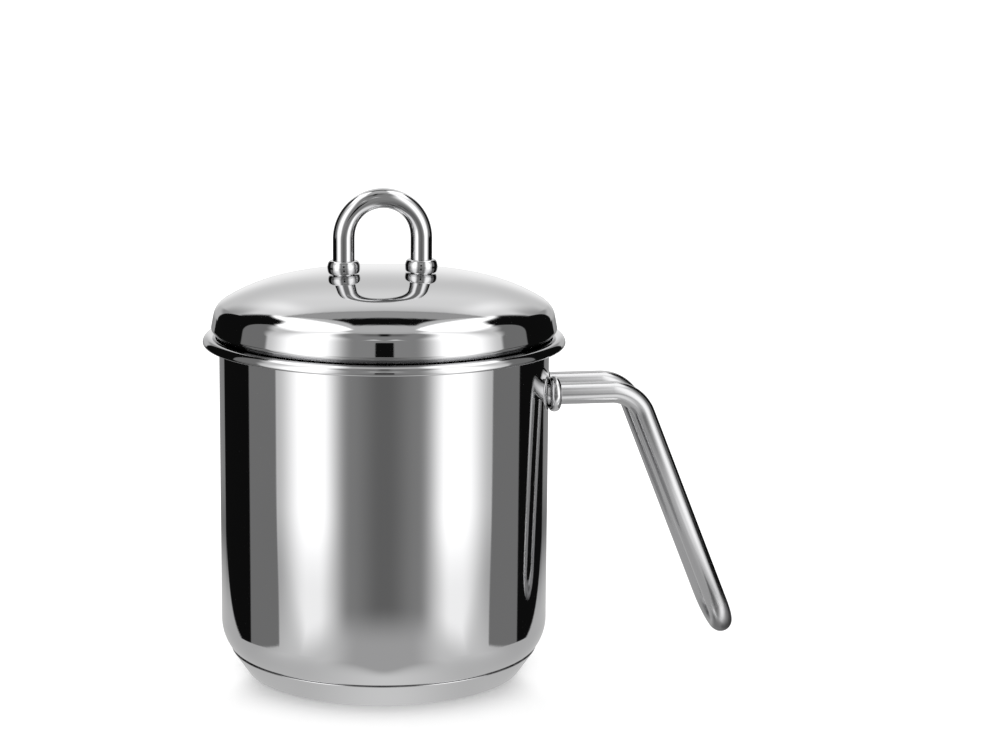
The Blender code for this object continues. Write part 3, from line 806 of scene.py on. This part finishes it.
def mirrored_direction(azimuth, elevation):
    """The azimuth and elevation in which the pan looks at a place on the studio's dome.

    azimuth and elevation are those of the place, seen from the dome's centre. The metal that
    mirrors the place stands about half of the azimuth round, on the lookout's radius and
    height, and nearer the front for places overhead. Below the lid's view all mirrors are
    upright and look down by the lookout's pitch."""
    turn = np.radians(azimuth)
    half = turn / 2 * (1 - ramp(elevation, *DOME_MIRRORS))
    flat = STUDIO_RADIUS * np.cos(np.radians(elevation))
    height = STUDIO_HEIGHT + STUDIO_RADIUS * np.sin(np.radians(elevation)) - LOOKOUT_HEIGHT
    ahead = flat * np.cos(turn) - LOOKOUT_RADIUS * np.cos(half)
    beside = flat * np.sin(turn) - LOOKOUT_RADIUS * np.sin(half)
    rise = np.degrees(np.arctan2(height, np.hypot(ahead, beside)))
    seen_rise = mix(-LOOKOUT_PITCH, rise, ramp(elevation, *LID_MIRRORS))
    return np.degrees(np.arctan2(beside, ahead)), seen_rise


def round_points(distance, heading, height):
    """Points at distances from Z and headings round it, all three values in equal arrays."""
    return np.stack([distance * np.cos(heading), distance * np.sin(heading), height], axis=-1)


def make_studio(toward_camera):
    """The dome that the metal reflects, with the level of the direction that shows it. The
    grey and black cards have dark tops, between two elevations and from side to side."""
    azimuth, elevation = np.meshgrid(np.linspace(-180, 180, STUDIO_COLUMNS + 1),
                                     np.linspace(-90, 90, STUDIO_ROWS + 1))
    flat = STUDIO_RADIUS * np.cos(np.radians(elevation))
    height = STUDIO_HEIGHT + STUDIO_RADIUS * np.sin(np.radians(elevation))
    points = round_points(flat, toward_camera + np.radians(azimuth), height)
    lean = CARD_LEAN * ramp(-elevation, *CARD_LEAN_DEPTH)
    level = studio_level(*mirrored_direction(azimuth, elevation), lean)
    top = ramp(elevation, *CARD_TOP_START) * (1 - ramp(elevation, *CARD_TOP_END))
    side = np.abs(azimuth)
    top = top * ramp(side, *CARD_TOP_SIDE) * (1 - ramp(side, *CARD_TOP_BACK))
    level = mix(level, LEVEL_BLACK, top)
    material = card_material("studio_card")
    dome = stage_grid("studio_dome", points, level, np.ones_like(level), material)
    reflected_only(dome)
    make_table(material, toward_camera)


def seen_azimuth(side, distance):
    """The azimuth in which the wall looks at a place on the table: the place's own and the
    angle whose sine is the wall's radius times half the seen azimuth's sine over the
    distance, found by going round a few times."""
    seen = side
    for _ in range(SEEN_ROUNDS):
        reach = WALL_RADIUS * MM * np.sin(np.radians(seen) / 2) / distance
        seen = side + np.degrees(np.arcsin(np.minimum(reach, 1)))
    return seen


def table_level(azimuth, distance):
    """How bright the table is at an azimuth and a distance in metres from the pan's axis.

    Painted light and shade: bright where the capsule's cone looks at it, darker in front, where
    the camera's dark surroundings lie over it, and farther out as bright as the cards behind it,
    a little dimmer beside the front."""
    side = np.abs(azimuth)
    near = mix(LEVEL_NEAR_FRONT, LEVEL_NEAR_MIDDLE, ramp(side, *NEAR_MIDDLE_SIDE))
    near = mix(near, LEVEL_NEAR_SIDE, ramp(side, *NEAR_OUTER_SIDE))
    top = mix(LEVEL_TABLE_FRONT, LEVEL_TABLE_MIDDLE, ramp(side, *TABLE_MIDDLE_SIDE))
    top = mix(top, LEVEL_NEAR_SIDE, ramp(side, *TABLE_OUTER_SIDE))
    near_end = mix(*NEAR_ENDS, ramp(side, *NEAR_END_SIDE))
    level = mix(near, top, ramp(distance, NEAR_START, near_end))
    dimmer = mix(LEVEL_TABLE_FAR, 1.0, ramp(distance, *FAR_DISTANCE))
    dimming = mix(1.0, dimmer, ramp(side, *FAR_SIDE))
    down = np.full_like(side, -LOOKOUT_PITCH)
    lit = studio_level(seen_azimuth(side, distance), down) * dimming
    start = mix(*LIT_STARTS, ramp(side, *LIT_START_SIDE))
    end = np.interp(side, LIT_END_SIDES, LIT_ENDS)
    return mix(level, lit, ramp(distance, start, end))


def make_table(material, toward_camera):
    """The table's top as the metal sees it, with its light and shade painted in: rings round the
    pan, cut off where the grey and black cards stand on it."""
    outer = math.sqrt(STUDIO_RADIUS ** 2 - STUDIO_HEIGHT ** 2)
    share = np.linspace(0, 1, TABLE_RINGS + 1)
    azimuth, distance = np.meshgrid(np.linspace(-180, 180, STUDIO_COLUMNS + 1),
                                    TABLE_INNER * (outer / TABLE_INNER) ** share)
    heading = toward_camera + np.radians(azimuth)
    points = round_points(distance, heading, np.zeros_like(heading))
    across = np.abs(distance * np.sin(np.radians(azimuth)))
    depth = -distance * np.cos(np.radians(azimuth))
    card = CARD_PLACE + CARD_SLANT * np.maximum(depth, 0)
    seen = seen_azimuth(np.abs(azimuth), distance)
    front = GREY_SIDE - CARD_LEAN * (1 - ramp(distance, *CARD_FOOT_DISTANCE))
    behind = soft_step(seen, front, CARD_FRONT_SOFTNESS)
    cover = 1 - soft_step(across, card, CARD_EDGE) * behind
    level = table_level(azimuth, distance)
    table = stage_grid("table_reflection", points, level, cover, material)
    reflected_only(table)


def floor_glow_with_painted_shadow(azimuth, distance):
    """The light that the camera sees on the floor beside what the world casts on it, at a
    distance in millimetres: it falls off only close to the pan, most of all in front, which is a
    painted shadow round the pan's foot."""
    side = ramp(np.abs(azimuth), *GLOW_TURN)
    high = mix(GLOW_FRONT, GLOW_SIDE, side)
    return mix(GLOW_CONTACT, high, ramp(distance, mix(*GLOW_STARTS, side), mix(*GLOW_ENDS, side)))


def make_floor(toward_camera):
    """The floor that the camera sees: white, with the pan's own soft shadow from the world's
    light and a painted shadow where the glow falls off close to the pan.
    """
    material = bpy.data.materials.new("white_floor")
    material.use_nodes = True
    tree = material.node_tree
    tree.nodes.clear()
    paper = add(tree, "BsdfDiffuse", Color=FLOOR_COLOUR + (1.0,)).outputs["BSDF"]
    path = add(tree, "LightPath")
    seen = path.outputs["Is Camera Ray"]
    for kind in ("Is Glossy Ray", "Is Transmission Ray"):
        seen = math_node(tree, "ADD", seen, path.outputs[kind])
    # The level attribute is the glow, lower close to the pan: a painted shadow.
    glow = add(tree, "Attribute", {"attribute_name": "level"}).outputs["Fac"]
    strength = math_node(tree, "MULTIPLY", seen, glow)
    light = add(tree, "Emission", Strength=strength).outputs["Emission"]
    total = add(tree, "AddShader")
    tree.links.new(paper, total.inputs[0])
    tree.links.new(light, total.inputs[1])
    out = add(tree, "OutputMaterial")
    tree.links.new(total.outputs["Shader"], out.inputs["Surface"])
    material.cycles.emission_sampling = "NONE"
    share = np.linspace(0, 1, FLOOR_RINGS)
    azimuth, distance = np.meshgrid(np.linspace(-180, 180, FLOOR_COLUMNS + 1),
                                    FLOOR_INNER * (FLOOR_SIZE / FLOOR_INNER) ** share)
    distance[0] = 0.0
    heading = toward_camera + np.radians(azimuth)
    points = round_points(distance, heading, np.full_like(heading, -FLOOR_DEPTH))
    # Painted shadow: the glow is lower close to the pan, most of all in front.
    level = floor_glow_with_painted_shadow(azimuth, distance / MM)
    floor = stage_grid("white_floor", points, level, np.ones_like(level), material)
    floor.visible_glossy = False


def make_world():
    """Even white light from everywhere, and pure white where the camera or metal sees it."""
    world = bpy.data.worlds.new("studio_light")
    bpy.context.scene.world = world
    world.use_nodes = True
    background = world.node_tree.nodes["Background"]
    background.inputs["Color"].default_value = (1.0, 1.0, 1.0, 1.0)
    background.inputs["Strength"].default_value = 1.0


def make_camera():
    """The photograph's viewpoint: a heading from +Y towards +X, a pitch down and a roll."""
    data = bpy.data.cameras.new("viewpoint")
    data.lens = CAMERA_LENS
    data.sensor_width = CAMERA_SENSOR
    data.clip_end = CAMERA_REACH
    camera = bpy.data.objects.new("viewpoint", data)
    bpy.context.scene.collection.objects.link(camera)
    camera.matrix_world = (
        Matrix.Translation(CAMERA_PLACE)
        @ Matrix.Rotation(math.radians(-CAMERA_HEADING), 4, "Z")
        @ Matrix.Rotation(math.radians(90 - CAMERA_PITCH), 4, "X")
        @ Matrix.Rotation(math.radians(CAMERA_ROLL), 4, "Z"))
    bpy.context.scene.camera = camera


def handle_line():
    """The handle's centre line and the direction across it at each point.

    The legs run level along X, turn down through the bend in an upright plane and follow the
    slope. The half circle that joins them lies in the sloping plane.
    """
    start = math.sqrt(WALL_RADIUS ** 2 - HANDLE_HALF ** 2)
    bend = np.array([start + HANDLE_STRAIGHT, HANDLE_LEG_HEIGHT - HANDLE_BEND])
    leg, _ = arc(bend, HANDLE_BEND, 90, 90 - HANDLE_SLOPE)
    down = polar(-HANDLE_SLOPE)
    run = (HANDLE_CLEARANCE + HANDLE_TUBE - leg[-1][1]) / down[1] - HANDLE_HALF
    turn_centre = leg[-1] + run * down
    near_wall = np.array([start - HANDLE_LEG_OVERLAP, HANDLE_LEG_HEIGHT])
    share = np.linspace(0, 1, HANDLE_LEG_STEPS, endpoint=False)[:, None]
    straight = near_wall + share * (leg[0] - near_wall)
    share = np.linspace(0, 1, HANDLE_GRIP_STEPS, endpoint=False)[1:, None]
    grip = leg[-1] + share * (turn_centre - leg[-1])
    side = np.concatenate([straight, leg, grip])
    near = np.stack([side[:, 0], np.full(len(side), -HANDLE_HALF), side[:, 1]], axis=1)
    angles = np.radians(np.linspace(-90, 90, HANDLE_TURN_STEPS + 1))
    reach = HANDLE_HALF * np.cos(angles)
    loop = np.stack([turn_centre[0] + reach * down[0], HANDLE_HALF * np.sin(angles),
                     turn_centre[1] + reach * down[1]], axis=1)
    far = (near * (1, -1, 1))[::-1]
    plane = np.array([-down[1], 0.0, down[0]])
    along_loop = np.stack([-np.sin(angles) * down[0], np.cos(angles),
                           -np.sin(angles) * down[1]], axis=1)
    across_loop = np.cross(plane, along_loop)
    first = across_loop[0] / abs(across_loop[0][1])
    across = np.concatenate([np.tile(first, (len(near), 1)), across_loop,
                             np.tile(-first, (len(far), 1))])
    return np.concatenate([near, loop, far]), across


def make_handle(tube_steel, bead_steel):
    """The handle's tube, whose ends follow the wall's curve, and the bead round each end."""
    line, across = handle_line()
    surface = tube_grid(line, across, HANDLE_TUBE, TUBE_COLUMNS)
    grid = surface[0]
    half = len(line)
    for row in (0, half - 1, half, 2 * half - 1):
        grid[row, :, 0] = np.sqrt((WALL_RADIUS + SEAT_GAP) ** 2 - grid[row, :, 1] ** 2)
    satin = ramp(-line[:, 2], -HANDLE_SATIN_TOP, -HANDLE_SATIN_FOOT)
    satin = np.concatenate([satin, satin[::-1]])
    tube = build("handle_tube", surface, tube_steel, closed=True, satin=satin)
    dress(tube, "pan", "handle_loop")
    points, normals = bead_section(HANDLE_TUBE, HANDLE_COLLAR_EDGE, HANDLE_COLLAR,
                                   HANDLE_COLLAR_WIDTH)
    start = math.sqrt(WALL_RADIUS ** 2 - HANDLE_HALF ** 2)
    for side, offset in (("right", -HANDLE_HALF), ("left", HANDLE_HALF)):
        grid, out, grain = turned_grid(points, normals, BEAD_COLUMNS)
        placed = np.stack([start + grid[..., 2], offset + grid[..., 0],
                           HANDLE_LEG_HEIGHT + grid[..., 1]], axis=-1)
        wall = np.sqrt((WALL_RADIUS + SEAT_GAP) ** 2 - placed[..., 1] ** 2)
        placed[..., 0] = np.maximum(placed[..., 0], wall)
        out = out[..., [2, 0, 1]]
        bead = build("handle_bead_" + side, (placed, out, grain), bead_steel, closed=True)
        dress(bead, "pan", "handle_collar_" + side)


def make_knob(tube_steel, bead_steel):
    """The knob's tube, an arch on two upright legs that flattens a little at its top, and the
    bead round each foot."""
    dome, dome_radius = lid_arcs()[:2]
    arch = dome[1] + dome_radius + KNOB_HEIGHT - KNOB_TUBE - KNOB_HALF
    foot = dome_height(KNOB_HALF) - KNOB_LEG_OVERLAP
    bend, _ = arc((0.0, arch), KNOB_HALF, 180, 0)
    share = np.linspace(0, 1, KNOB_LEG_STEPS, endpoint=False)[:, None]
    rise = np.array([-KNOB_HALF, foot]) + share * (bend[0] - (-KNOB_HALF, foot))
    flat = np.concatenate([rise, bend, (rise * (-1, 1))[::-1]])
    line = np.stack([flat[:, 0] + KNOB_OFFSET, np.zeros(len(flat)), flat[:, 1]], axis=1)
    across = np.tile([0.0, 1.0, 0.0], (len(line), 1))
    height = np.clip((line[:, 2] - arch) / KNOB_HALF, 0, 1)
    thin = 2 * KNOB_FLATTENING * ramp(height, 0, 1)
    surface = tube_grid(line, across, KNOB_TUBE, TUBE_COLUMNS, thin)
    grid = surface[0]
    half = len(line)
    for row in (0, half - 1, half, 2 * half - 1):
        from_axis = np.hypot(grid[row, :, 0], grid[row, :, 1])
        grid[row, :, 2] = dome_height(from_axis) + SEAT_GAP
    dress(build("knob_tube", surface, tube_steel, closed=True), "lid", "knob_loop")
    bead_foot = dome_height(KNOB_HALF + KNOB_COLLAR)
    height = dome_height(KNOB_HALF) + KNOB_COLLAR_HEIGHT - bead_foot
    points, normals = bead_section(KNOB_TUBE, KNOB_COLLAR_EDGE, KNOB_COLLAR, height)
    for side, offset in (("back", -KNOB_HALF), ("front", KNOB_HALF)):
        grid, out, grain = turned_grid(points, normals, BEAD_COLUMNS)
        placed = grid + (offset + KNOB_OFFSET, 0.0, bead_foot)
        floor = dome_height(np.hypot(placed[..., 0], placed[..., 1])) + KNOB_COLLAR_GAP
        placed[..., 2] = np.maximum(placed[..., 2], floor)
        bead = build("knob_bead_" + side, (placed, out, grain), bead_steel, closed=True)
        dress(bead, "lid", "knob_collar_" + side)


def make_turned(name, section, inside_rows, material, body, node):
    """A piece turned from its section, with satin on the rows of its inside."""
    points, normals = section
    satin = inside_rows(points, normals).astype(float)
    piece = build(name, turned_grid(points, normals, TURNED_COLUMNS), material, satin=satin)
    dress(piece, body, node)


def pan_inside(points, normals):
    """The pan's floor and bore: the rows before the section's top, up to a soft edge that
    lies between two depths below the rim."""
    top = int(np.argmax(points[:, 1]))
    low, high = (PAN_HEIGHT - depth for depth in PAN_SATIN_DEPTHS)
    inside = np.zeros(len(points))
    inside[:top] = 1 - ramp(points[:top, 1], low, high)
    return inside


def lid_inside(points, normals):
    """The lid's underside: every row after the section turns at the skirt's lower edge."""
    bottom = int(np.argmin(points[:, 1]))
    inside = np.zeros(len(points))
    inside[bottom:] = 1.0
    return inside


def nowhere(points, normals):
    """No row."""
    return np.zeros(len(points))


def coat(node, material):
    """One material in place of a CAD node's own."""
    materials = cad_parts[node].data.materials
    materials.clear()
    materials.append(material)


def main():
    """Build the studio, the camera and the visible surfaces, and finish the hidden nodes."""
    view = bpy.context.scene.view_settings
    view.view_transform = "Standard"
    make_camera()
    make_world()
    toward_camera = math.atan2(CAMERA_PLACE[1], CAMERA_PLACE[0])
    make_floor(toward_camera)
    make_studio(toward_camera)
    polished = metal("mirror_polished_steel", STEEL_COLOUR, roughness=0.025, haze=0.03,
                     line_depth=1.5e-6, along=(6.0, 6.0, 9.0), satin=0.22)
    base_steel = metal("base_steel", STEEL_COLOUR, roughness=0.10, haze=0.05,
                       line_depth=2e-6, along=(6.0, 6.0, 9.0))
    tube_steel = metal("tube_steel", TUBE_COLOUR, roughness=0.15, haze=0.08,
                       line_depth=8e-6, along=(7.0, 7.0, 0.05), satin=0.24)
    knob_steel = metal("knob_steel", STEEL_COLOUR, roughness=0.05, haze=0.04,
                       line_depth=2e-6, along=(7.0, 7.0, 0.05))
    bead_steel = metal("bead_steel", STEEL_COLOUR, roughness=0.03, haze=0.03,
                       line_depth=1e-6, along=(4.0, 4.0, 6.0))
    drawn = metal("drawn_steel", STEEL_COLOUR, roughness=0.30, haze=0.10,
                  line_depth=1e-5, along=(3.0, 3.0, 1.0))
    rolled = metal("rolled_aluminium", ALUMINIUM_COLOUR, roughness=0.32, haze=0.12,
                   line_depth=1e-5, along=(3.0, 3.0, 4.0))
    make_turned("polished_pan", pan_section(), pan_inside, polished, "pan", "pan_shell")
    make_turned("base_dish", capsule_section(), nowhere, base_steel, "pan", "base_capsule")
    make_turned("polished_lid", lid_section(), lid_inside, polished, "lid", "lid_shell")
    make_handle(tube_steel, bead_steel)
    make_knob(knob_steel, bead_steel)
    for node in ("handle_weld_plug_right", "handle_weld_plug_left", "knob_weld_plug_back",
                 "knob_weld_plug_front"):
        coat(node, drawn)
    coat("base_core", rolled)


main()
